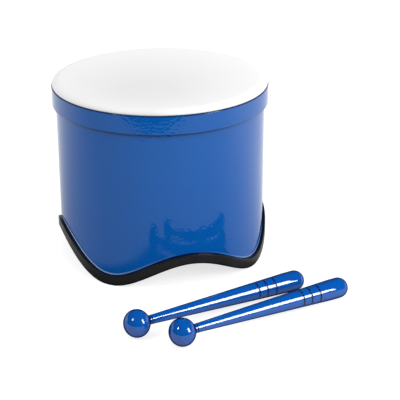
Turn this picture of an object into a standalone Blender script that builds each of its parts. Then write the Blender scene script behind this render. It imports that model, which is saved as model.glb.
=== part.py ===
# Children's floor tom-tom with its pair of mallets.
# The shell stands on a wave-cut lower edge, so that the sound leaves under its arches.
# Units are metres, +Z is up and z = 0 is the floor that the drum and the mallets stand on.
# An arch of the wave faces -Y. The origin is the middle of the whole set's footprint.

import math

import bmesh
import bpy
from mathutils import Matrix, Vector

# Play between pieces that are bonded or pushed together
CLEARANCE = 0.0003

# Shell: a plain tube
SHELL_R = 0.127
SHELL_WALL = 0.005
SHELL_CHAMFER = 0.0006
DRUM_HEIGHT = 0.2242

# Wave along the lower edge, whose arches are taller at the sides than at the front and back, and
# the edging that is pushed over it
FEET = 4
ARCH_HEIGHT = 0.0314
SIDE_ARCH_EXTRA = 0.0073
EDGING_LEG_HEIGHT = 0.0121
EDGING_OUTER_WALL = 0.0036
EDGING_INNER_WALL = 0.0026
EDGING_WEB = 0.0030
EDGING_ROUND = 0.0013
EDGING_LIP_ROUND = 0.0009

# Head: a film with a rounded shoulder, and a hem that runs down behind the collar
FILM = 0.0005
HEAD_RISE = 0.0070
SHOULDER_WIDTH = 0.0112
SHOULDER_STEPS = 4
LIP_HEIGHT = 0.0012
LIP_ROUND = 0.0004
HEM_DEPTH = 0.0160
HEAD_SETBACK = 0.0009

# Ring that caps the shell's top edge and carries the head
RING_SKIRT_WALL = 0.0012
RING_CAP = 0.0052
RING_LAND = 0.0016
RING_SPIGOT_WALL = 0.0022
RING_SPIGOT_DEPTH = 0.0080
RING_CHAMFER = 0.0005

# Collar: full depth against the shell at its foot, rebated above for the hem
COLLAR_HEIGHT = 0.0227
COLLAR_WALL = 0.00175
COLLAR_ROUND = 0.0005

# Mallets: a slightly flattened ball glued on a turned handle
BALL_R = 0.0158
BALL_HALF_LENGTH = 0.0149
TENON_R = 0.0040
TENON_TIP = 0.0020
NECK_R = 0.0053
NECK_LENGTH = 0.0050
BUTT_R = 0.0120
BUTT_LENGTH = 0.0120
HANDLE_REACH = 0.2106
GROOVE_PLACES = (0.1556, 0.1666, 0.1785)
GROOVE_WIDTH = 0.0013
GROOVE_DEPTH = 0.0008
NECK_GROOVE_WIDTH = 0.0010
NECK_GROOVE_DEPTH = 0.0006

# Where the mallets lie: the gap from the collar to a handle's centre line, how far the ball
# lies along that line from its nearest point to the drum, and the line's turn from +X
REAR_STANDOFF = 0.0614
REAR_BALL_ALONG = -0.1419
REAR_TURN = math.radians(14.34)
MALLET_SPACING = 0.0421
FRONT_BALL_ALONG = -0.1105
FRONT_TURN = math.radians(14.64)

# Facets
SEGMENTS = 24 * FEET
FOOT_FLAT_ANGLE = 2 * math.pi / SEGMENTS
MALLET_SEGMENTS = 24
BALL_STEPS = 6
BUTT_STEPS = 4

# Colours as linear RGB, with roughness
FINISHES = {
    "gloss_blue": ((0.018, 0.115, 0.407), 0.12),
    "film_white": ((0.84, 0.84, 0.84), 0.35),
    "rubber_black": ((0.018, 0.018, 0.019), 0.55),
    "ring_black": ((0.030, 0.030, 0.032), 0.50),
    "lacquer_blue": ((0.006, 0.070, 0.410), 0.10),
}

# Radii of the rim, from the shell outwards
SHELL_BORE_R = SHELL_R - SHELL_WALL
RING_INNER_R = SHELL_R + CLEARANCE
RING_OUTER_R = RING_INNER_R + RING_SKIRT_WALL
HEM_INNER_R = RING_OUTER_R + CLEARANCE
HEM_OUTER_R = HEM_INNER_R + FILM
COLLAR_BORE_R = HEM_OUTER_R + CLEARANCE
COLLAR_R = COLLAR_BORE_R + COLLAR_WALL
HEAD_R = COLLAR_R - HEAD_SETBACK
SHOULDER_START_R = HEAD_R - SHOULDER_WIDTH

# Heights of the rim
COLLAR_TOP = DRUM_HEIGHT - HEAD_RISE
COLLAR_BOTTOM = COLLAR_TOP - COLLAR_HEIGHT
HEAD_LIP = COLLAR_TOP + CLEARANCE
SHOULDER_RISE = DRUM_HEIGHT - HEAD_LIP - LIP_HEIGHT
HEM_BOTTOM = HEAD_LIP - HEM_DEPTH
REBATE = HEM_BOTTOM - CLEARANCE
RING_TOP = DRUM_HEIGHT - FILM - CLEARANCE
RING_SEAT = RING_TOP - RING_CAP
SHELL_TOP = RING_SEAT - CLEARANCE

# Radii of the edging's channel
EDGING_OUTER_R = SHELL_R + CLEARANCE + EDGING_OUTER_WALL
EDGING_INNER_R = SHELL_BORE_R - CLEARANCE - EDGING_INNER_WALL

# The drum at its widest
DRUM_R = max(COLLAR_R, EDGING_OUTER_R)

# Fall of the cosine from an arch's middle to where a foot is trimmed flat, which it is for one
# facet each side of its own middle
WAVE_SPAN = 1 + math.cos(FEET * FOOT_FLAT_ANGLE)


def arch_height(angle):
    """Height of an arch with its middle at this angle, where angle 0 faces -Y."""
    return ARCH_HEIGHT + SIDE_ARCH_EXTRA * math.sin(angle) ** 2


def wave_share(angle):
    """Share of the arch's height: 1 in its middle and 0 where the flat of a foot begins."""
    return 1 - (1 - math.cos(FEET * angle)) / WAVE_SPAN


def wave_height(angle):
    """Height of the edging's untrimmed underside."""
    return arch_height(angle) * wave_share(angle)


def wave_stretch(angle):
    """How much taller a strip is, measured upright, where the wave slopes."""
    arch_change = SIDE_ARCH_EXTRA * math.sin(2 * angle)
    share_change = -FEET * math.sin(FEET * angle) / WAVE_SPAN
    slope = (arch_change * wave_share(angle) + arch_height(angle) * share_change) / SHELL_R
    return math.sqrt(1 + slope * slope)


def material(finish):
    found = bpy.data.materials.get(finish)
    if found:
        return found
    colour, roughness = FINISHES[finish]
    made = bpy.data.materials.new(finish)
    made.use_nodes = True
    shader = made.node_tree.nodes["Principled BSDF"]
    shader.inputs["Base Color"].default_value = (*colour, 1)
    shader.inputs["Roughness"].default_value = roughness
    shader.inputs["Metallic"].default_value = 0
    made.diffuse_color = (*colour, 1)
    return made


def spin_profile(profile, segments, closed):
    """Turns a profile of (radius, height) points about Z, starting at -Y."""
    bm = bmesh.new()
    verts = [bm.verts.new((0, -radius, height)) for radius, height in profile]
    pairs = list(zip(verts, verts[1:]))
    if closed:
        pairs.append((verts[-1], verts[0]))
    edges = [bm.edges.new(pair) for pair in pairs]
    bmesh.ops.spin(
        bm,
        geom=verts + edges,
        cent=(0, 0, 0),
        axis=(0, 0, 1),
        angle=2 * math.pi,
        steps=segments,
        use_merge=True,
    )
    bmesh.ops.remove_doubles(bm, verts=bm.verts, dist=0.00001)
    bmesh.ops.recalc_face_normals(bm, faces=bm.faces)
    return bm


def add_piece(name, bm, finish, parent):
    mesh = bpy.data.meshes.new(name)
    bm.to_mesh(mesh)
    bm.free()
    mesh.shade_smooth()
    mesh.set_sharp_from_angle(angle=math.radians(35))
    piece = bpy.data.objects.new(name, mesh)
    piece.data.materials.append(material(finish))
    piece.parent = parent
    bpy.context.scene.collection.objects.link(piece)
    return piece


def add_empty(name, place, turn=None):
    empty = bpy.data.objects.new(name, None)
    empty.matrix_world = Matrix.Translation(place) @ (turn or Matrix.Identity(4))
    bpy.context.scene.collection.objects.link(empty)
    return empty


def follow_wave(verts):
    """Lifts points, whose z is their height over the edging's underside, on to the wave."""
    for vert in verts:
        angle = math.atan2(vert.co.x, -vert.co.y)
        height = wave_height(angle) + vert.co.z * wave_stretch(angle)
        vert.co.z = max(height, 0)


def shoulder_point(step, inset):
    """A point on the head's rounded shoulder, a quarter ellipse, moved in along its normal."""
    turn = 0.5 * math.pi * step / SHOULDER_STEPS
    normal = Vector((math.sin(turn) / SHOULDER_WIDTH, math.cos(turn) / SHOULDER_RISE))
    normal.normalize()
    radius = SHOULDER_START_R + SHOULDER_WIDTH * math.sin(turn)
    height = DRUM_HEIGHT - SHOULDER_RISE * (1 - math.cos(turn))
    return radius - inset * normal.x, height - inset * normal.y


def drum_shell(parent):
    cut = EDGING_WEB + CLEARANCE
    profile = [
        (SHELL_R, cut),
        (SHELL_R, SHELL_TOP - SHELL_CHAMFER),
        (SHELL_R - SHELL_CHAMFER, SHELL_TOP),
        (SHELL_BORE_R + SHELL_CHAMFER, SHELL_TOP),
        (SHELL_BORE_R, SHELL_TOP - SHELL_CHAMFER),
        (SHELL_BORE_R, cut),
    ]
    bm = spin_profile(profile, SEGMENTS, closed=True)
    follow_wave([vert for vert in bm.verts if vert.co.z < SHELL_TOP / 2])
    return add_piece("drum_shell", bm, "gloss_blue", parent)


def bottom_edging(parent):
    """A U-section strip: two legs that grip the shell's wall, and a web under its cut edge."""
    slot_outer = SHELL_R + CLEARANCE
    slot_inner = SHELL_BORE_R - CLEARANCE
    soft = EDGING_ROUND * (1 - math.sqrt(0.5))
    profile = [
        (EDGING_OUTER_R, EDGING_ROUND),
        (EDGING_OUTER_R, EDGING_LEG_HEIGHT - EDGING_LIP_ROUND),
        (EDGING_OUTER_R - EDGING_LIP_ROUND, EDGING_LEG_HEIGHT),
        (slot_outer, EDGING_LEG_HEIGHT),
        (slot_outer, EDGING_WEB),
        (slot_inner, EDGING_WEB),
        (slot_inner, EDGING_LEG_HEIGHT),
        (EDGING_INNER_R + EDGING_LIP_ROUND, EDGING_LEG_HEIGHT),
        (EDGING_INNER_R, EDGING_LEG_HEIGHT - EDGING_LIP_ROUND),
        (EDGING_INNER_R, EDGING_ROUND),
        (EDGING_INNER_R + soft, soft),
        (EDGING_INNER_R + EDGING_ROUND, 0),
        (EDGING_OUTER_R - EDGING_ROUND, 0),
        (EDGING_OUTER_R - soft, soft),
    ]
    bm = spin_profile(profile, SEGMENTS, closed=True)
    follow_wave(bm.verts)
    return add_piece("bottom_edging", bm, "rubber_black", parent)


def bearing_ring(parent):
    """Caps the shell's end: a skirt outside it, a spigot inside it and the shoulder on top."""
    inset = FILM + CLEARANCE
    spigot_outer = SHELL_BORE_R - CLEARANCE
    spigot_inner = spigot_outer - RING_SPIGOT_WALL
    land_inner = SHOULDER_START_R - RING_LAND
    lip = HEAD_LIP + inset
    lip_radius = HEAD_R - inset
    profile = [(RING_OUTER_R, HEM_BOTTOM), (RING_OUTER_R, lip), (lip_radius - LIP_ROUND, lip)]
    for step in range(SHOULDER_STEPS, -1, -1):
        profile.append(shoulder_point(step, inset))
    profile += [
        (land_inner, RING_TOP),
        (land_inner - RING_CHAMFER, RING_TOP - RING_CHAMFER),
        (spigot_inner, RING_SEAT),
        (spigot_inner, RING_SEAT - RING_SPIGOT_DEPTH),
        (spigot_outer, RING_SEAT - RING_SPIGOT_DEPTH),
        (spigot_outer, RING_SEAT),
        (RING_INNER_R, RING_SEAT),
        (RING_INNER_R, HEM_BOTTOM),
    ]
    bm = spin_profile(profile, SEGMENTS, closed=True)
    return add_piece("bearing_ring", bm, "ring_black", parent)


def drum_head(parent):
    """A film cap: flat top, shoulder, a lip over the collar's edge and a hem behind it."""
    outside = [(0, DRUM_HEIGHT)]
    for step in range(SHOULDER_STEPS + 1):
        outside.append(shoulder_point(step, 0))
    outside += [
        (HEAD_R - LIP_ROUND, HEAD_LIP),
        (HEM_OUTER_R, HEAD_LIP),
        (HEM_OUTER_R, HEM_BOTTOM),
    ]
    inside = [
        (HEM_INNER_R, HEM_BOTTOM),
        (HEM_INNER_R, HEAD_LIP + FILM),
        (HEAD_R - FILM - LIP_ROUND, HEAD_LIP + FILM),
    ]
    for step in range(SHOULDER_STEPS, -1, -1):
        inside.append(shoulder_point(step, FILM))
    inside.append((0, DRUM_HEIGHT - FILM))
    bm = spin_profile(outside + inside, SEGMENTS, closed=False)
    return add_piece("drum_head", bm, "film_white", parent)


def collar_band(parent):
    profile = [
        (RING_INNER_R, COLLAR_BOTTOM),
        (COLLAR_R - COLLAR_ROUND, COLLAR_BOTTOM),
        (COLLAR_R, COLLAR_BOTTOM + COLLAR_ROUND),
        (COLLAR_R, COLLAR_TOP - COLLAR_ROUND),
        (COLLAR_R - COLLAR_ROUND, COLLAR_TOP),
        (COLLAR_BORE_R, COLLAR_TOP),
        (COLLAR_BORE_R, REBATE),
        (RING_INNER_R, REBATE),
    ]
    bm = spin_profile(profile, SEGMENTS, closed=True)
    return add_piece("collar_band", bm, "gloss_blue", parent)


def handle_radius(place):
    """Radius of the handle along its taper, from the neck to where the butt runs straight."""
    taper_start = BALL_HALF_LENGTH + NECK_LENGTH
    taper_end = HANDLE_REACH - BUTT_LENGTH
    share = (place - taper_start) / (taper_end - taper_start)
    return NECK_R + (BUTT_R - NECK_R) * min(max(share, 0), 1)


def groove(place, width, depth):
    """Four points of a turned groove cut into the handle."""
    half = width / 2
    floor = handle_radius(place) - depth
    return [
        (handle_radius(place - half), place - half),
        (floor, place - half / 2),
        (floor, place + half / 2),
        (handle_radius(place + half), place + half),
    ]


def ball_surface(radius):
    """Distance along the mallet from the ball's middle to its surface at this radius."""
    return BALL_HALF_LENGTH * math.sqrt(1 - (radius / BALL_R) ** 2)


def mallet_handle(name, parent):
    """Turned along Z, with the ball's middle at 0 and the domed butt at the far end."""
    bore_mouth = ball_surface(TENON_R + CLEARANCE)
    neck = bore_mouth + CLEARANCE
    neck_groove = neck + NECK_LENGTH / 2
    profile = [
        (0, TENON_TIP + CLEARANCE),
        (TENON_R, TENON_TIP + CLEARANCE),
        (TENON_R, neck),
        (NECK_R, neck),
    ]
    profile += groove(neck_groove, NECK_GROOVE_WIDTH, NECK_GROOVE_DEPTH)
    profile.append((NECK_R, BALL_HALF_LENGTH + NECK_LENGTH))
    for place in GROOVE_PLACES:
        profile += groove(place, GROOVE_WIDTH, GROOVE_DEPTH)
    profile.append((BUTT_R, HANDLE_REACH - BUTT_LENGTH))
    for step in range(BUTT_STEPS):
        turn = 0.5 * math.pi * step / BUTT_STEPS
        profile.append((BUTT_R * math.cos(turn), HANDLE_REACH + BUTT_R * math.sin(turn)))
    profile.append((0, HANDLE_REACH + BUTT_R))
    bm = spin_profile(profile, MALLET_SEGMENTS, closed=False)
    return add_piece(name, bm, "lacquer_blue", parent)


def mallet_ball(name, parent):
    """A ball flattened along the handle, with a blind bore for the handle's tenon."""
    bore = TENON_R + CLEARANCE
    mouth = ball_surface(bore)
    mouth_turn = math.asin(bore / BALL_R)
    profile = [(0, -BALL_HALF_LENGTH)]
    for step in range(1, 2 * BALL_STEPS):
        turn = step * (math.pi - mouth_turn) / (2 * BALL_STEPS)
        profile.append((BALL_R * math.sin(turn), -BALL_HALF_LENGTH * math.cos(turn)))
    profile += [(bore, mouth), (bore, TENON_TIP), (0, TENON_TIP)]
    bm = spin_profile(profile, MALLET_SEGMENTS, closed=False)
    return add_piece(name, bm, "lacquer_blue", parent)


def ball_place(standoff, along, turn):
    """Where a ball's middle is, seen from above with the drum's axis at 0."""
    reach = COLLAR_R + standoff
    x = along * math.cos(turn) + reach * math.sin(turn)
    y = along * math.sin(turn) - reach * math.cos(turn)
    return Vector((x, y, BALL_R))


def mallet(name, place, turn):
    """Lies on its ball and its butt, so its axis dips by their difference."""
    dip = math.asin((BALL_R - BUTT_R) / HANDLE_REACH)
    lay = Matrix.Rotation(turn, 4, "Z") @ Matrix.Rotation(math.pi / 2 + dip, 4, "Y")
    parent = add_empty(name, place, lay)
    mallet_ball(name + "_ball", parent)
    mallet_handle(name + "_handle", parent)


def footprint_middle(front_ball):
    """The middle of the set's footprint, seen from the drum's axis."""
    butt_x = front_ball.x + HANDLE_REACH * math.cos(FRONT_TURN)
    left = -DRUM_R
    right = max(DRUM_R, butt_x + BUTT_R)
    back = DRUM_R
    front = front_ball.y - BALL_R
    return Vector(((left + right) / 2, (front + back) / 2, 0))


def main():
    for old in list(bpy.data.objects):
        bpy.data.objects.remove(old)

    rear_ball = ball_place(REAR_STANDOFF, REAR_BALL_ALONG, REAR_TURN)
    front_ball = ball_place(REAR_STANDOFF + MALLET_SPACING, FRONT_BALL_ALONG, FRONT_TURN)
    middle = footprint_middle(front_ball)

    drum = add_empty("drum", -middle)
    drum_shell(drum)
    bottom_edging(drum)
    bearing_ring(drum)
    drum_head(drum)
    collar_band(drum)
    mallet("mallet_rear", rear_ball - middle, REAR_TURN)
    mallet("mallet_front", front_ball - middle, FRONT_TURN)


main()
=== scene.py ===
import math

import bmesh
import bpy
import numpy as np
from mathutils import Matrix, Vector


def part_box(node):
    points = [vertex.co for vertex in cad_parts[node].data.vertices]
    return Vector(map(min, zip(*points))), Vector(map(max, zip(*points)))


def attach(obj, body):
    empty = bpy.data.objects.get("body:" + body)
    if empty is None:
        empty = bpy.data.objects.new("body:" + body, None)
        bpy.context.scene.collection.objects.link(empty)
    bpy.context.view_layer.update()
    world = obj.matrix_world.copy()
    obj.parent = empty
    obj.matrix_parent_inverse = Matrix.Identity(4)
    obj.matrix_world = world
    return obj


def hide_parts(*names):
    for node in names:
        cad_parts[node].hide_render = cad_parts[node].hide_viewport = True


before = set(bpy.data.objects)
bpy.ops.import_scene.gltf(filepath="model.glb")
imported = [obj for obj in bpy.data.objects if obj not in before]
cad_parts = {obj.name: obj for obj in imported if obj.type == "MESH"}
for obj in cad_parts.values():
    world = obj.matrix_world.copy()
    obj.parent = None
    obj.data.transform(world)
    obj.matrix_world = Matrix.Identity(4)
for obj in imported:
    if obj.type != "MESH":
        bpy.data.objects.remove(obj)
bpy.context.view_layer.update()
print("frame loaded:", len(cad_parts), "nodes")

# Lengths are in metres, angles round the drum run from -Y towards +X
headLow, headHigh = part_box("drum_head")
collarLow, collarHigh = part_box("collar_band")
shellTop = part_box("drum_shell")[1].z
drumX = (headLow.x + headHigh.x) / 2
drumY = (headLow.y + headHigh.y) / 2
drumColumns = 384
drumAngles = np.arange(drumColumns) * 2 * math.pi / drumColumns

mergeDistance = 0.000002
sharpAngle = math.radians(40)
roundSteps = 5


# A mesh from a grid of points: rows run along a profile, columns round the piece. The painted
# shading of each row, or of each point, is kept on the points: every finish paints shade on them
# where it is over 0, and a finish with a painted light colour paints light on them where it is under
# 0
def gridPiece(name, points, paintedShadings, wrapRows, material):
    rows, columns = points.shape[:2]
    rowSpan = np.arange(rows if wrapRows else rows - 1)
    row, column = np.meshgrid(rowSpan, np.arange(columns), indexing="ij")
    nextRow, nextColumn = (row + 1) % rows, (column + 1) % columns
    corners = [
        row * columns + column,
        row * columns + nextColumn,
        nextRow * columns + nextColumn,
        nextRow * columns + column,
    ]
    quads = np.stack(corners, -1).reshape(-1, 4)
    mesh = bpy.data.meshes.new(name)
    mesh.from_pydata(points.reshape(-1, 3).tolist(), [], quads.tolist())
    paintedShading = mesh.attributes.new("paintedShading", "FLOAT", "POINT")
    paintedShadings = np.broadcast_to(paintedShadings.reshape(rows, -1), (rows, columns))
    paintedShading.data.foreach_set("value", paintedShadings.ravel().astype(np.float32))
    bm = bmesh.new()
    bm.from_mesh(mesh)
    bmesh.ops.remove_doubles(bm, verts=bm.verts, dist=mergeDistance)
    bmesh.ops.dissolve_degenerate(bm, edges=bm.edges, dist=mergeDistance / 2)
    bmesh.ops.recalc_face_normals(bm, faces=bm.faces)
    bm.to_mesh(mesh)
    bm.free()
    mesh.shade_smooth()
    mesh.set_sharp_from_angle(angle=sharpAngle)
    mesh.materials.append(material)
    piece = bpy.data.objects.new(name, mesh)
    bpy.context.scene.collection.objects.link(piece)
    return piece


# A closed outline through corners of (radius, height, rounding, painted shading). Each rounding is
# the curve (1-t)^2 begin + 2t(1-t) corner + t^2 end, where begin and end lie one rounding from the
# corner
def roundedOutline(corners):
    spots = np.array([corner[:2] for corner in corners], float)
    t = np.linspace(0, 1, roundSteps + 1)[:, None]
    outline, paintedShadings = [], []
    for k, (_, _, rounding, paintedShading) in enumerate(corners):
        spot = spots[k]
        if rounding:
            before = spots[k - 1] - spot
            after = spots[(k + 1) % len(spots)] - spot
            begin = spot + before / np.linalg.norm(before) * rounding
            end = spot + after / np.linalg.norm(after) * rounding
            outline.append((1 - t) ** 2 * begin + 2 * t * (1 - t) * spot + t**2 * end)
        else:
            outline.append(spot[None])
        paintedShadings += [paintedShading] * len(outline[-1])
    return np.concatenate(outline), np.array(paintedShadings, float)


# Turned surface: x = axis + radius * sin(angle), y = axis - radius * cos(angle), at each outline
# point's own height
def turned(outline):
    radius, height = outline[:, :1], outline[:, 1:2]
    x = drumX + radius * np.sin(drumAngles)
    y = drumY - radius * np.cos(drumAngles)
    return np.stack([x, y, height + 0 * drumAngles], -1)


# The wave of the drum's lower edge: height = (arch + side * sin(angle)^2) * share, where share is
# 1 - (1 - cos(feet * angle)) / span, and span is 1 + cos(feet * flatAngle), so that share is under 0
# within flatAngle of each foot's middle. The slope is the height's change with the angle, and
# stretch = sqrt(1 + (slope / radius)^2) turns a height over the edge into one measured square to it
wave = {"feet": 4, "arch": 0.0314, "side": 0.0073, "flatAngle": math.radians(3.75), "radius": 0.127}
waveSpan = 1 + math.cos(wave["feet"] * wave["flatAngle"])
waveShare = 1 - (1 - np.cos(wave["feet"] * drumAngles)) / waveSpan
waveCrest = wave["arch"] + wave["side"] * np.sin(drumAngles) ** 2
waveHeight = waveCrest * waveShare
waveSlope = wave["side"] * np.sin(2 * drumAngles) * waveShare
waveSlope -= waveCrest * wave["feet"] * np.sin(wave["feet"] * drumAngles) / waveSpan
waveStretch = np.sqrt(1 + (waveSlope / wave["radius"]) ** 2)


# A number or a colour is set on a socket, and what a node puts out is linked to it
def feed(links, value, socket):
    if isinstance(value, bpy.types.NodeSocket):
        links.new(value, socket)
    else:
        socket.default_value = (*value, 1) if isinstance(value, tuple) else value


# A smooth step of a value, from 0 at the begin to 1 at the end, which may be the lower one
def smoothStep(nodes, links, value, begin, end):
    step = nodes.new("ShaderNodeMapRange")
    step.interpolation_type = "SMOOTHSTEP"
    step.inputs["From Min"].default_value = begin
    step.inputs["From Max"].default_value = end
    links.new(value, step.inputs["Value"])
    return step.outputs["Result"]


# Two values joined by an operation of the Math node
def combined(nodes, links, operation, first, second):
    result = nodes.new("ShaderNodeMath")
    result.operation = operation
    feed(links, first, result.inputs[0])
    feed(links, second, result.inputs[1])
    return result.outputs["Value"]


# A value between two others, or with the kind RGBA a colour between two others
def mixed(nodes, links, factor, first, second, kind="FLOAT"):
    mix = nodes.new("ShaderNodeMix")
    mix.data_type = kind
    feed(links, factor, mix.inputs["Factor"])
    feed(links, first, mix.inputs["A"])
    feed(links, second, mix.inputs["B"])
    return mix.outputs["Result"]


# How far a place or direction lies along an axis: their dot product
def along(nodes, links, vector, axis):
    dot = nodes.new("ShaderNodeVectorMath")
    dot.operation = "DOT_PRODUCT"
    dot.inputs[1].default_value = axis
    links.new(vector, dot.inputs[0])
    return dot.outputs["Value"]


# Light Path's masks: 1 for camera rays, and 1 for the rays that a mirror or a glass sends on
def seenRays(nodes, links):
    rays = nodes.new("ShaderNodeLightPath").outputs
    mirrored = combined(nodes, links, "MAXIMUM", rays["Is Glossy Ray"], rays["Is Transmission Ray"])
    return rays["Is Camera Ray"], mirrored


surface = {
    "cloudDetail": 5,
    "cloudSpread": (0.35, 0.65),  # the clouds' values that give the lowest and highest roughness
    "peelDetail": 0,
    "peelDepth": 0.0002,
}


# Shared surface effects: a roughness that drifts with soft clouds, the clouds themselves, and a
# fine unevenness as a height
def makeSurfaceGroup():
    group = bpy.data.node_groups.new("surfaceTexture", "ShaderNodeTree")
    given = {"Cloud Scale": 20, "Peel Scale": 400, "Rough Low": 0.1, "Rough High": 0.2}
    for name, value in given.items():
        socket = group.interface.new_socket(name, in_out="INPUT", socket_type="NodeSocketFloat")
        socket.default_value = value
    for name in ("Roughness", "Cloud", "Height"):
        group.interface.new_socket(name, in_out="OUTPUT", socket_type="NodeSocketFloat")
    nodes, links = group.nodes, group.links
    entry, leave = nodes.new("NodeGroupInput"), nodes.new("NodeGroupOutput")
    place = nodes.new("ShaderNodeTexCoord")
    cloud, peel = nodes.new("ShaderNodeTexNoise"), nodes.new("ShaderNodeTexNoise")
    cloud.inputs["Detail"].default_value = surface["cloudDetail"]
    peel.inputs["Detail"].default_value = surface["peelDetail"]
    spread = nodes.new("ShaderNodeMapRange")
    spreadFrom, spreadTo = surface["cloudSpread"]
    spread.inputs["From Min"].default_value = spreadFrom
    spread.inputs["From Max"].default_value = spreadTo
    for noise, scale in ((cloud, "Cloud Scale"), (peel, "Peel Scale")):
        links.new(place.outputs["Object"], noise.inputs["Vector"])
        links.new(entry.outputs[scale], noise.inputs["Scale"])
    links.new(cloud.outputs["Fac"], spread.inputs["Value"])
    links.new(entry.outputs["Rough Low"], spread.inputs["To Min"])
    links.new(entry.outputs["Rough High"], spread.inputs["To Max"])
    links.new(spread.outputs["Result"], leave.inputs["Roughness"])
    links.new(cloud.outputs["Fac"], leave.inputs["Cloud"])
    links.new(peel.outputs["Fac"], leave.inputs["Height"])
    return group


surfaceTexture = makeSurfaceGroup()


# A finish from its dictionary: two near colours mixed by the clouds, a deeper colour of painted rim
# shade under a thinner coat where the surface turns away if that colour is given, a paler colour of
# painted light where the painted shading is under 0 if that colour is given, and a darker colour of
# painted shade where it is over 0. "cloud" and "peel" are the scales of the two noises, and "rough"
# is the range of the roughness
def makeFinish(name, look):
    made = bpy.data.materials.new(name)
    made.use_nodes = True
    nodes, links = made.node_tree.nodes, made.node_tree.links
    shader = nodes["Principled BSDF"]
    texture = nodes.new("ShaderNodeGroup")
    texture.node_tree = surfaceTexture
    for socket, value in zip(texture.inputs, (look["cloud"], look["peel"], *look["rough"])):
        socket.default_value = value
    links.new(texture.outputs["Roughness"], shader.inputs["Roughness"])

    colour = mixed(nodes, links, texture.outputs["Cloud"], *look["colours"], "RGBA")
    if "edge" in look:
        # painted rim shade: a deeper colour where the surface turns away from the camera
        turnedAway = nodes.new("ShaderNodeLayerWeight").outputs["Facing"]
        rimShade = smoothStep(nodes, links, turnedAway, *look["edge"])
        colour = mixed(nodes, links, rimShade, colour, look["edgeColour"], "RGBA")
        links.new(mixed(nodes, links, rimShade, *look["coat"]), shader.inputs["Coat Weight"])
        shader.inputs["Coat Roughness"].default_value = look["coatRough"]
        shader.inputs["Coat IOR"].default_value = look["coatBend"]
    paintedShadingNode = nodes.new("ShaderNodeAttribute")
    paintedShadingNode.attribute_name = "paintedShading"
    paintedShading = paintedShadingNode.outputs["Fac"]
    if "paintedLightColour" in look:
        paintedLightShare = combined(nodes, links, "MULTIPLY", paintedShading, -1)
        colour = mixed(nodes, links, paintedLightShare, colour, look["paintedLightColour"], "RGBA")
    colour = mixed(nodes, links, paintedShading, colour, look["paintedShadeColour"], "RGBA")
    links.new(colour, shader.inputs["Base Color"])

    dent = nodes.new("ShaderNodeBump")
    dent.inputs["Strength"].default_value = look["bump"]
    dent.inputs["Distance"].default_value = surface["peelDepth"]
    links.new(texture.outputs["Height"], dent.inputs["Height"])
    links.new(dent.outputs["Normal"], shader.inputs["Normal"])
    shader.inputs["Specular IOR Level"].default_value = look["shine"]
    shader.inputs["Specular Tint"].default_value = (*look.get("shineTint", (1, 1, 1)), 1)
    return made


glossBlue = makeFinish("glossBlue", {
    "colours": ((0.001, 0.083, 0.342), (0.002, 0.089, 0.362)),
    # painted highlight colour for the line over the edging
    "paintedLightColour": (0.64, 0.79, 1.0),
    # painted shade colour over the edging's lip, under the collar and at the collar's foot and rim
    "paintedShadeColour": (0.001, 0.012, 0.060),
    "rough": (0.015, 0.03),
    "cloud": 14,
    "peel": 340,
    "bump": 0.42,
    "shine": 0.5,
    "shineTint": (0.9, 0.97, 1.0),
})
tubeInside = makeFinish("tubeInside", {
    "colours": ((0.045, 0.047, 0.052), (0.060, 0.062, 0.068)),
    # painted shade colour at the bore's edges
    "paintedShadeColour": (0.01, 0.01, 0.01),
    "rough": (0.45, 0.62),
    "cloud": 30,
    "peel": 900,
    "bump": 0.25,
    "shine": 0.4,
})
filmWhite = makeFinish("filmWhite", {
    "colours": ((0.75, 0.75, 0.75), (0.76, 0.76, 0.76)),
    # painted light colour: the film grows paler away from a spot
    "paintedLightColour": (0.93, 0.93, 0.93),
    # painted shade colour for the front of the shoulder and the lip over the collar
    "paintedShadeColour": (0.05, 0.05, 0.06),
    "rough": (0.45, 0.55),
    "cloud": 22,
    "peel": 1400,
    "bump": 0.05,
    "shine": 0.0,
})
rubberBlack = makeFinish("rubberBlack", {
    "colours": ((0.012, 0.012, 0.012), (0.018, 0.017, 0.017)),
    # painted shade colour at the toe, the lip and in the slot
    "paintedShadeColour": (0.001, 0.003, 0.010),
    "rough": (0.34, 0.48),
    "cloud": 60,
    "peel": 1800,
    "bump": 0.30,
    "shine": 0.40,
})
ringBlack = makeFinish("ringBlack", {
    "colours": ((0.028, 0.028, 0.030), (0.040, 0.040, 0.042)),
    "paintedShadeColour": (0.01, 0.01, 0.01),
    "rough": (0.40, 0.55),
    "cloud": 40,
    "peel": 900,
    "bump": 0.10,
    "shine": 0.4,
})
lacquerBlue = makeFinish("lacquerBlue", {
    "colours": ((0.001, 0.076, 0.355), (0.002, 0.084, 0.385)),
    # painted shade colour in the grooves, the ball's mouth and the hole
    "paintedShadeColour": (0.001, 0.008, 0.050),
    # painted rim shade where the lacquer turns away from the camera
    "edge": (0.38, 0.76),
    "edgeColour": (0.001, 0.018, 0.110),
    "rough": (0.03, 0.05),
    "cloud": 40,
    "peel": 220,
    "bump": 0.03,
    "shine": 0.0,
    "coat": (1.0, 0.0),
    "coatRough": 0.02,
    "coatBend": 1.75,
})
print("finishes made")

edging = {
    "outer": 0.1309,
    "inner": 0.1191,
    "slotOuter": 0.1273,
    "slotInner": 0.1217,
    "slotRound": 0.0002,
    "leg": 0.0121,
    "web": 0.0030,
    "toe": 0.0017,  # roundings at the floor and at the top of the legs
    "lip": 0.0012,
    "toePaintedShadeTo": 0.0032,  # heights between which the outer leg has no painted shade
    "lipPaintedShadeFrom": 0.0103,
}


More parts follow.
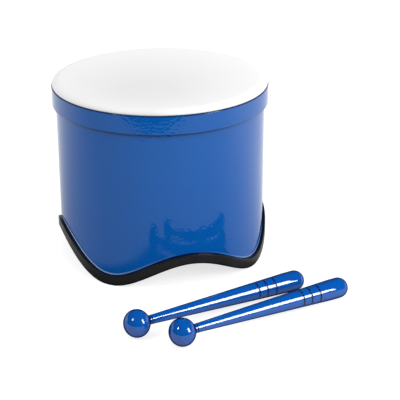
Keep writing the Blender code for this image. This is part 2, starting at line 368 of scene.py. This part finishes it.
# Edging: a channel turned round the drum, each point at wave + its height * stretch, and nothing of
# it lower than the floor
def edgingPoints():
    outer, inner, leg, web = (edging[key] for key in ("outer", "inner", "leg", "web"))
    slotOuter, slotInner, slotRound = (edging[key] for key in ("slotOuter", "slotInner", "slotRound"))
    # painted shade at the toe, at the lip and in the slot
    outline, paintedShadings = roundedOutline([
        (outer, 0, edging["toe"], 0.6),
        (outer, edging["toePaintedShadeTo"], 0, 0),
        (outer, edging["lipPaintedShadeFrom"], 0, 0),
        (outer, leg, edging["lip"], 0.9),
        (slotOuter, leg, slotRound, 1),
        (slotOuter, web, 0, 1),
        (slotInner, web, 0, 1),
        (slotInner, leg, slotRound, 1),
        (inner, leg, edging["lip"], 0),
        (inner, 0, edging["toe"], 0.3),
    ])
    points = turned(outline)
    points[..., 2] = np.maximum(waveHeight + outline[:, 1:2] * waveStretch, 0)
    return points, paintedShadings


edgingPiece = gridPiece("edging", *edgingPoints(), True, rubberBlack)
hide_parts("bottom_edging")
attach(edgingPiece, "drum")
print("edging made")

shell = {
    "outer": 0.1270,
    "bore": 0.1220,
    "round": 0.0007,
    "cut": 0.0033,
    "waveReach": 0.06,
    # painted shade over the edging's lip up to the first height, then a painted highlight line
    "paintedShadeTo": 0.0008,  # this and the next three are heights over the edging's legs
    "paintedLightFrom": 0.0011,
    "paintedLightTo": 0.0020,
    "paintedLightEnd": 0.0032,
    "paintedLightSides": 2.5,
    # painted shadow under the collar, starting at the first depth and darker from the second
    "shadowFrom": 0.0034,  # this and the next are depths under the collar
    "shadowMiddle": 0.0018,
}


# Shell: a turned tube, its points lower than the wave's reach laid over the wave as the edging's
# are. It has painted shade over the edging's lip and under the collar, and a painted highlight line
# over the edging that is strongest at the sides: painted shading under 0 is multiplied by
# |sin(angle)| to the power given for the sides
def shellPoints():
    outer, bore, cut, leg = shell["outer"], shell["bore"], shell["cut"], edging["leg"]
    outline, paintedShadings = roundedOutline([
        (outer, cut, 0, 1),
        (outer, leg + shell["paintedShadeTo"], 0, 1),
        (outer, leg + shell["paintedLightFrom"], 0, -1),
        (outer, leg + shell["paintedLightTo"], 0, -1),
        (outer, leg + shell["paintedLightEnd"], 0, 0),
        (outer, shell["waveReach"], 0, 0),
        (outer, collarLow.z - shell["shadowFrom"], 0, 0),
        (outer, collarLow.z - shell["shadowMiddle"], 0, 0.6),
        (outer, collarLow.z, 0, 1),
        (outer, shellTop, shell["round"], 1),
        (bore, shellTop, shell["round"], 0.3),
        (bore, shell["waveReach"], 0, 0),
        (bore, cut, 0, 0.5),
    ])
    points = turned(outline)
    low = outline[:, 1] < shell["waveReach"]
    points[low, :, 2] = waveHeight + outline[low, 1:2] * waveStretch
    paintedShadings = paintedShadings[:, None]
    sides = np.abs(np.sin(drumAngles)) ** shell["paintedLightSides"]
    return points, np.where(paintedShadings < 0, paintedShadings * sides, paintedShadings)


shellPiece = gridPiece("shell", *shellPoints(), True, glossBlue)
shellPiece.data.materials.append(tubeInside)
faceMiddles = np.zeros(len(shellPiece.data.polygons) * 3)
shellPiece.data.polygons.foreach_get("center", faceMiddles)
faceMiddles = faceMiddles.reshape(-1, 3) - (drumX, drumY, 0)
inBore = np.hypot(faceMiddles[:, 0], faceMiddles[:, 1]) < (shell["outer"] + shell["bore"]) / 2
shellPiece.data.polygons.foreach_set("material_index", inBore.astype(np.int32))
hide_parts("drum_shell")
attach(shellPiece, "drum")
print("shell made")

collar = {
    "outer": 0.13135,
    "bore": 0.1296,
    "foot": 0.1273,
    "rebate": 0.0067,
    "round": 0.0008,
    "innerRound": 0.0003,
    "footPaintedShade": 0.0014,  # heights of the painted shade strips at the foot and the rim
    "rimPaintedShade": 0.0013,
}


# Collar: a turned band, full at its foot and rebated over it for the head's hem. It has painted
# shade at its foot, at its rim and in the rebate
def collarPoints():
    low, high, rebate = collarLow.z, collarHigh.z, collarLow.z + collar["rebate"]
    outline, paintedShadings = roundedOutline([
        (collar["foot"], low, collar["innerRound"], 1),
        (collar["outer"], low, collar["round"], 0.75),
        (collar["outer"], low + collar["footPaintedShade"], 0, 0),
        (collar["outer"], high - collar["rimPaintedShade"], 0, 0),
        (collar["outer"], high, collar["round"], 0.7),
        (collar["bore"], high, collar["innerRound"], 1),
        (collar["bore"], rebate, 0, 1),
        (collar["foot"], rebate, 0, 1),
    ])
    return turned(outline), paintedShadings


collarPiece = gridPiece("collar", *collarPoints(), True, glossBlue)
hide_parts("collar_band")
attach(collarPiece, "drum")
print("collar made")

head = {
    "radius": 0.13045,
    "shoulder": 0.0112,
    "film": 0.0005,
    "hem": 0.1293,
    "lip": 0.0012,
    "lipRound": 0.0004,
    "lipMiddle": (0.3, 0.35),  # shares of lipRound and lip
    "lipGap": 0.0003,
    "lipPaintedShade": (0.35, 0.9, 1.0),  # painted shade of the lip's rows
    "spot": (-0.030, -0.051),  # the film's painted light grows away from here
    # painted light on the film, from the first distance from the spot to full at the second
    "paintedLightFrom": 0.030,
    "paintedLightTo": 0.190,
    "front": (-0.044, -0.120),  # the shoulder's painted shade is darkest here
    "frontReach": 0.12,
    "paintedFrontShade": 0.40,
    "rings": 12,
    "shoulderSteps": 16,
}


# Distance in plan from a spot, which is given from the drum's axis: sqrt(x^2 + y^2)
def awayFrom(points, spot):
    return np.linalg.norm(points[..., :2] - (drumX + spot[0], drumY + spot[1]), axis=-1)


# Head: one film. Its flat top turns down over a quarter ellipse, radius = flat + shoulder * sin(t)
# and height = top - rise * (1 - cos(t)), into the lip over the collar and the hem behind it. The
# film has painted light that grows with the distance from a spot before the middle. Its shoulder
# has painted shade, darker the nearer it is to another spot at the front, and painted light beyond
# that spot's reach. The lip has painted shade
def headPoints():
    film, hem, radius = head["film"], head["hem"], head["radius"]
    top, lip = headHigh.z, collarHigh.z + head["lipGap"]
    flat, rise = radius - head["shoulder"], top - lip - head["lip"]
    t = np.linspace(0, math.pi / 2, head["shoulderSteps"] + 1)
    arc = np.stack([flat + head["shoulder"] * np.sin(t), top - rise * (1 - np.cos(t))], -1)
    outward = np.stack([np.sin(t) / head["shoulder"], np.cos(t) / rise], -1)
    arcUnder = arc - film * outward / np.linalg.norm(outward, axis=1)[:, None]
    share = np.arange(head["rings"])[:, None] / head["rings"]
    crown = np.hstack([share * flat, np.full_like(share, top)])
    crownUnder = crown[::-1] - (0, film)
    inShare, upShare = head["lipMiddle"]
    lipMiddle = (radius - head["lipRound"] * inShare, lip + head["lip"] * upShare)
    turnIn = radius - head["lipRound"]
    lipRows = [lipMiddle, (turnIn, lip), (hem, lip)]
    hemRows = [(hem, headLow.z), (hem - film, headLow.z), (hem - film, lip + film)]
    hemRows.append((turnIn - film, lip + film))
    points = turned(np.concatenate([crown, arc, lipRows, hemRows, arcUnder[::-1], crownUnder]))

    away = awayFrom(points, head["spot"])
    paintedShadings = -np.clip((away - head["paintedLightFrom"]) / (head["paintedLightTo"] - head["paintedLightFrom"]), 0, 1)
    shoulder = slice(len(crown), len(crown) + len(arc))
    near = np.clip(1 - awayFrom(points[shoulder], head["front"]) / head["frontReach"], -1, 1)
    paintedShadings[shoulder] += head["paintedFrontShade"] * np.sin(t)[:, None] * near
    paintedShadings[shoulder.stop:shoulder.stop + len(lipRows)] = np.array(head["lipPaintedShade"])[:, None]
    return points, paintedShadings


headPiece = gridPiece("head", *headPoints(), False, filmWhite)
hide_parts("drum_head")
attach(headPiece, "drum")
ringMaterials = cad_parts["bearing_ring"].data.materials
ringMaterials.clear()
ringMaterials.append(ringBlack)
print("head and ring made")

mallet = {
    "ballRadius": 0.0158,
    "ballHalf": 0.0149,
    "fit": 0.0003,
    "tenon": 0.0040,
    "tenonTip": 0.0020,
    "neck": 0.0053,
    "neckLength": 0.0050,
    "neckChamfer": 0.0004,
    "butt": 0.0120,
    "buttLength": 0.0120,
    "reach": 0.2106,
    "grooves": (0.1556, 0.1666, 0.1785),
    "grooveWidth": 0.0021,
    "grooveDepth": 0.0011,
    "grooveSpan": 0.6,
    "neckGrooveWidth": 0.0014,
    "neckGrooveDepth": 0.0008,
    "columns": 96,
    "taperSteps": 60,
    "grooveSteps": 16,
    "buttSteps": 16,
    "ballSteps": 60,
}
malletAngles = np.arange(mallet["columns"]) * 2 * math.pi / mallet["columns"]
mouthPlace = mallet["ballHalf"] * math.sqrt(1 - (mallet["tenon"] / mallet["ballRadius"]) ** 2)
mouthPlace += mallet["fit"]


# Turned about a line: point = start + axis * place + radius * (side * cos(angle) + up * sin(angle))
def turnedAbout(start, axis, outline):
    side = np.cross((0, 0, 1), axis)
    side /= np.linalg.norm(side)
    up = np.cross(axis, side)
    ring = np.cos(malletAngles)[:, None] * side + np.sin(malletAngles)[:, None] * up
    radius, place = outline[:, 0], outline[:, 1]
    return start + place[:, None, None] * axis + radius[:, None, None] * ring[None]


# Handle: radius grows in a straight line from neck to butt, less depth * (1 - away^4) in each
# groove, which gets painted shade by 1 - away^6, and ends in a quarter circle
def handleOutline():
    neck, butt, tenon, reach = (mallet[key] for key in ("neck", "butt", "tenon", "reach"))
    grooves = [(place, mallet["grooveWidth"], mallet["grooveDepth"]) for place in mallet["grooves"]]
    neckPlace = mouthPlace + mallet["neckLength"] / 2
    grooves.append((neckPlace, mallet["neckGrooveWidth"], mallet["neckGrooveDepth"]))
    across = np.linspace(-mallet["grooveSpan"], mallet["grooveSpan"], mallet["grooveSteps"] + 1)
    spans = [np.linspace(mouthPlace + mallet["neckChamfer"], reach, mallet["taperSteps"] + 1)]
    spans += [place + width * across for place, width, _ in grooves]
    places = np.unique(np.concatenate(spans))
    taperStart, taperEnd = mallet["ballHalf"] + mallet["neckLength"], reach - mallet["buttLength"]
    radius = neck + (butt - neck) * np.clip((places - taperStart) / (taperEnd - taperStart), 0, 1)
    paintedShadings = np.zeros(len(places))
    for place, width, depth in grooves:
        away = np.clip(np.abs(places - place) / (width / 2), 0, 1)
        radius -= depth * (1 - away**4)
        paintedShadings = np.maximum(paintedShadings, 1 - away**6)
    t = np.linspace(0, math.pi / 2, mallet["buttSteps"] + 1)[1:]
    dome = np.stack([butt * np.cos(t), reach + butt * np.sin(t)], -1)
    dome[-1, 0] = 0
    tip = mallet["tenonTip"] + mallet["fit"]
    base = [(0, tip), (tenon, tip), (tenon, mouthPlace), (neck - mallet["neckChamfer"], mouthPlace)]
    outline = np.concatenate([base, np.stack([radius, places], -1), dome])
    return outline, np.concatenate([np.ones(len(base)), paintedShadings, np.zeros(len(dome))])


# Ball: radius = R * sin(t), place = -half * cos(t), down to the mouth of the tenon's blind hole
def ballOutline():
    hole, tip = mallet["tenon"] + mallet["fit"], mallet["tenonTip"]
    t = np.linspace(0, math.pi - math.asin(hole / mallet["ballRadius"]), mallet["ballSteps"] + 1)
    ball = np.stack([mallet["ballRadius"] * np.sin(t), -mallet["ballHalf"] * np.cos(t)], -1)
    ball[0, 0] = 0
    outline = np.concatenate([ball, [(hole, tip), (0, tip)]])
    paintedShadings = np.zeros(len(outline))
    paintedShadings[-3:] = 1  # painted shade in the mouth and the hole
    return outline, paintedShadings


for body in ("mallet_rear", "mallet_front"):
    ballLow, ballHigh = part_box(body + "_ball")
    start = np.array((ballLow + ballHigh) / 2)
    handleSpots = np.array([vertex.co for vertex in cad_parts[body + "_handle"].data.vertices])
    reach = handleSpots[np.argmax(np.linalg.norm(handleSpots - start, axis=1))] - start
    axis = reach / np.linalg.norm(reach)
    if body == "mallet_rear":
        rearStart, rearReach, rearAxis = start, reach, axis
        rearSide = np.array((-axis[1], axis[0], 0)) / np.hypot(axis[0], axis[1])
    for part, (outline, paintedShadings) in (("ball", ballOutline()), ("handle", handleOutline())):
        name = body.split("_")[1] + part.capitalize()
        piece = gridPiece(name, turnedAbout(start, axis, outline), paintedShadings, False, lacquerBlue)
        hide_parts(body + "_" + part)
        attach(piece, body)
print("mallets made")

# The camera's place seen from the drum, and its turn, found from the rims, the wave and the mallets
view = {
    "side": -0.3522,
    "back": -1.3239,
    "height": 0.6463,
    "turn": math.radians(-16.91),
    "down": math.radians(23.17),
    "roll": math.radians(-0.14),
    "lens": 105.93,
    "sensor": 36,
    "clipStart": 0.05,
}
ahead = Vector((-math.sin(view["turn"]), math.cos(view["turn"]), 0))
aside = Vector((ahead.y, -ahead.x, 0))
camera = bpy.data.objects.new("camera", bpy.data.cameras.new("camera"))
camera.data.lens = view["lens"]
camera.data.sensor_width = view["sensor"]
camera.data.clip_start = view["clipStart"]
aim = Matrix.Rotation(view["turn"], 4, "Z")
aim = aim @ Matrix.Rotation(math.pi / 2 - view["down"], 4, "X")
aim = aim @ Matrix.Rotation(view["roll"], 4, "Z")
cameraPlace = (drumX + view["side"], drumY + view["back"], view["height"])
camera.matrix_world = Matrix.Translation(cameraPlace) @ aim
bpy.context.scene.collection.objects.link(camera)
bpy.context.scene.camera = camera
bpy.context.scene.view_settings.view_transform = "Standard"
print("camera set")

floorSheet = {
    "reach": 6.0,
    "front": 0.68,
    "frontTurn": math.radians(5),
    "colour": 0.50,
    "rough": 0.9,
    "lift": 0.72,  # what the camera sees added to the lit colour
    "mirroredLift": (0.08, 0.70),  # what a mirror sees added, near and far
    "liftFrom": -0.12,
    "liftTo": 0.36,
    "liftTowards": ((0.85, 0.42), (0.68, -0.20)),  # shares of ahead and aside
    "paintedShadow": 0.02,  # the colour of the painted shadow that mirrors see
    "shadeSoft": 0.03,  # its softness at the ball and the drum
    "shadeEnd": 0.01,  # at the butt
    "shadeLine": 0.001,  # along the mallet
}


# Floor: a pale sheet that ends a little in front of the set, lifted to white where it is seen, so
# that only the object's shadow is left. Mirrors see a painted shadow on it between the drum and the
# rear mallet, where the photograph's reflection in the shell is dark
def makeFloor():
    middle = Vector((drumX, drumY, 0))
    turn = Matrix.Rotation(-floorSheet["frontTurn"], 3, "Z")
    near, far = turn @ -ahead * floorSheet["front"], turn @ ahead * floorSheet["reach"]
    wide = turn @ aside * floorSheet["reach"]
    corners = [middle + near - wide, middle + near + wide, middle + far + wide, middle + far - wide]
    mesh = bpy.data.meshes.new("floor")
    mesh.from_pydata([tuple(corner) for corner in corners], [], [(0, 1, 2, 3)])
    floor = bpy.data.objects.new("floor", mesh)
    bpy.context.scene.collection.objects.link(floor)
    made = bpy.data.materials.new("floorPale")
    made.use_nodes = True
    nodes, links = made.node_tree.nodes, made.node_tree.links
    shader = nodes["Principled BSDF"]
    shader.inputs["Roughness"].default_value = floorSheet["rough"]
    shader.inputs["Specular IOR Level"].default_value = 0
    shader.inputs["Emission Color"].default_value = (1, 1, 1, 1)
    cameraMask, mirrorMask = seenRays(nodes, links)

    place = nodes.new("ShaderNodeTexCoord").outputs["Object"]
    lengthwise = along(nodes, links, place, rearAxis)
    crosswise = along(nodes, links, place, rearSide)
    begin, end = rearStart @ rearAxis, (rearStart + rearReach) @ rearAxis
    malletLine, drumLine = rearStart @ rearSide, middle @ Vector(rearSide)
    soft, line = floorSheet["shadeSoft"], floorSheet["shadeLine"]
    paintedShadow = mirrorMask
    for value, outside, inside in (
        (lengthwise, begin - soft, begin),
        (lengthwise, end, end - floorSheet["shadeEnd"]),
        (crosswise, malletLine - line, malletLine + line),
        (crosswise, drumLine, drumLine - soft),
    ):
        mask = smoothStep(nodes, links, value, outside, inside)
        paintedShadow = combined(nodes, links, "MULTIPLY", paintedShadow, mask)
    tone = mixed(nodes, links, paintedShadow, floorSheet["colour"], floorSheet["paintedShadow"])
    links.new(tone, shader.inputs["Base Color"])

    lifted = []
    for aheadShare, asideShare in floorSheet["liftTowards"]:
        towards = ahead * aheadShare + aside * asideShare
        spot = towards @ middle
        distance = along(nodes, links, place, towards)
        liftFrom, liftTo = spot + floorSheet["liftFrom"], spot + floorSheet["liftTo"]
        lifted.append(smoothStep(nodes, links, distance, liftFrom, liftTo))
    farther = combined(nodes, links, "MAXIMUM", *lifted)
    mirrored = mixed(nodes, links, farther, *floorSheet["mirroredLift"])
    mirrored = mixed(nodes, links, paintedShadow, mirrored, 0.0)
    seen = mixed(nodes, links, mirrorMask, 0.0, mirrored)
    strength = mixed(nodes, links, cameraMask, seen, floorSheet["lift"])
    links.new(strength, shader.inputs["Emission Strength"])
    mesh.materials.append(made)


studio = {
    "ambient": (0.56, 0.86),  # the light from the sides and below, and from straight above
    "dark": 0.02,
    "backdropTop": (0.36, 0.25),  # a direction's height where the backdrop ends, and where it is full
    "backdropSides": (-0.05, 0.30),  # the same for how far the direction points ahead
}


# World: for the light it gives, plain and a little stronger from above. It is white for the camera,
# and for mirrored rays a white backdrop behind the drum, up to a height, in a dark studio
def makeWorld():
    world = bpy.data.worlds.new("studio")
    bpy.context.scene.world = world
    world.use_nodes = True
    nodes, links = world.node_tree.nodes, world.node_tree.links
    background = nodes["Background"]
    background.inputs["Color"].default_value = (1, 1, 1, 1)
    direction = nodes.new("ShaderNodeTexCoord").outputs["Generated"]
    height = along(nodes, links, direction, (0, 0, 1))
    behind = along(nodes, links, direction, ahead)
    under = smoothStep(nodes, links, height, *studio["backdropTop"])
    between = smoothStep(nodes, links, behind, *studio["backdropSides"])
    backdrop = combined(nodes, links, "MULTIPLY", under, between)
    cameraMask, mirrorMask = seenRays(nodes, links)
    given = mixed(nodes, links, height, *studio["ambient"])
    mirrored = mixed(nodes, links, backdrop, studio["dark"], 1.0)
    seen = mixed(nodes, links, mirrorMask, given, mirrored)
    links.new(mixed(nodes, links, cameraMask, seen, 1.0), background.inputs["Strength"])


makeFloor()
makeWorld()
print("floor and studio made")

# Soft boxes: their directions from the mallets come from the highlights on each ball
lampTarget = Vector((0.0, -0.10, 0.06))
lampDistance = 1.3
lamps = {
    "boxRight": {"direction": (0.62, -0.64, 0.45), "size": (0.37, 0.70), "power": 12.1},
    "boxLeft": {"direction": (-0.72, -0.25, 0.65), "size": (0.19, 0.34), "power": 3.5},
}
for name, lamp in lamps.items():
    light = bpy.data.lights.new(name, "AREA")
    light.shape = "RECTANGLE"
    light.size, light.size_y = lamp["size"]
    light.energy = lamp["power"]
    toLamp = Vector(lamp["direction"]).normalized()
    lampPiece = bpy.data.objects.new(name, light)
    lampPiece.location = lampTarget + toLamp * lampDistance
    lampPiece.rotation_mode = "QUATERNION"
    lampPiece.rotation_quaternion = (-toLamp).to_track_quat("-Z", "Y")
    bpy.context.scene.collection.objects.link(lampPiece)
print("lights set")
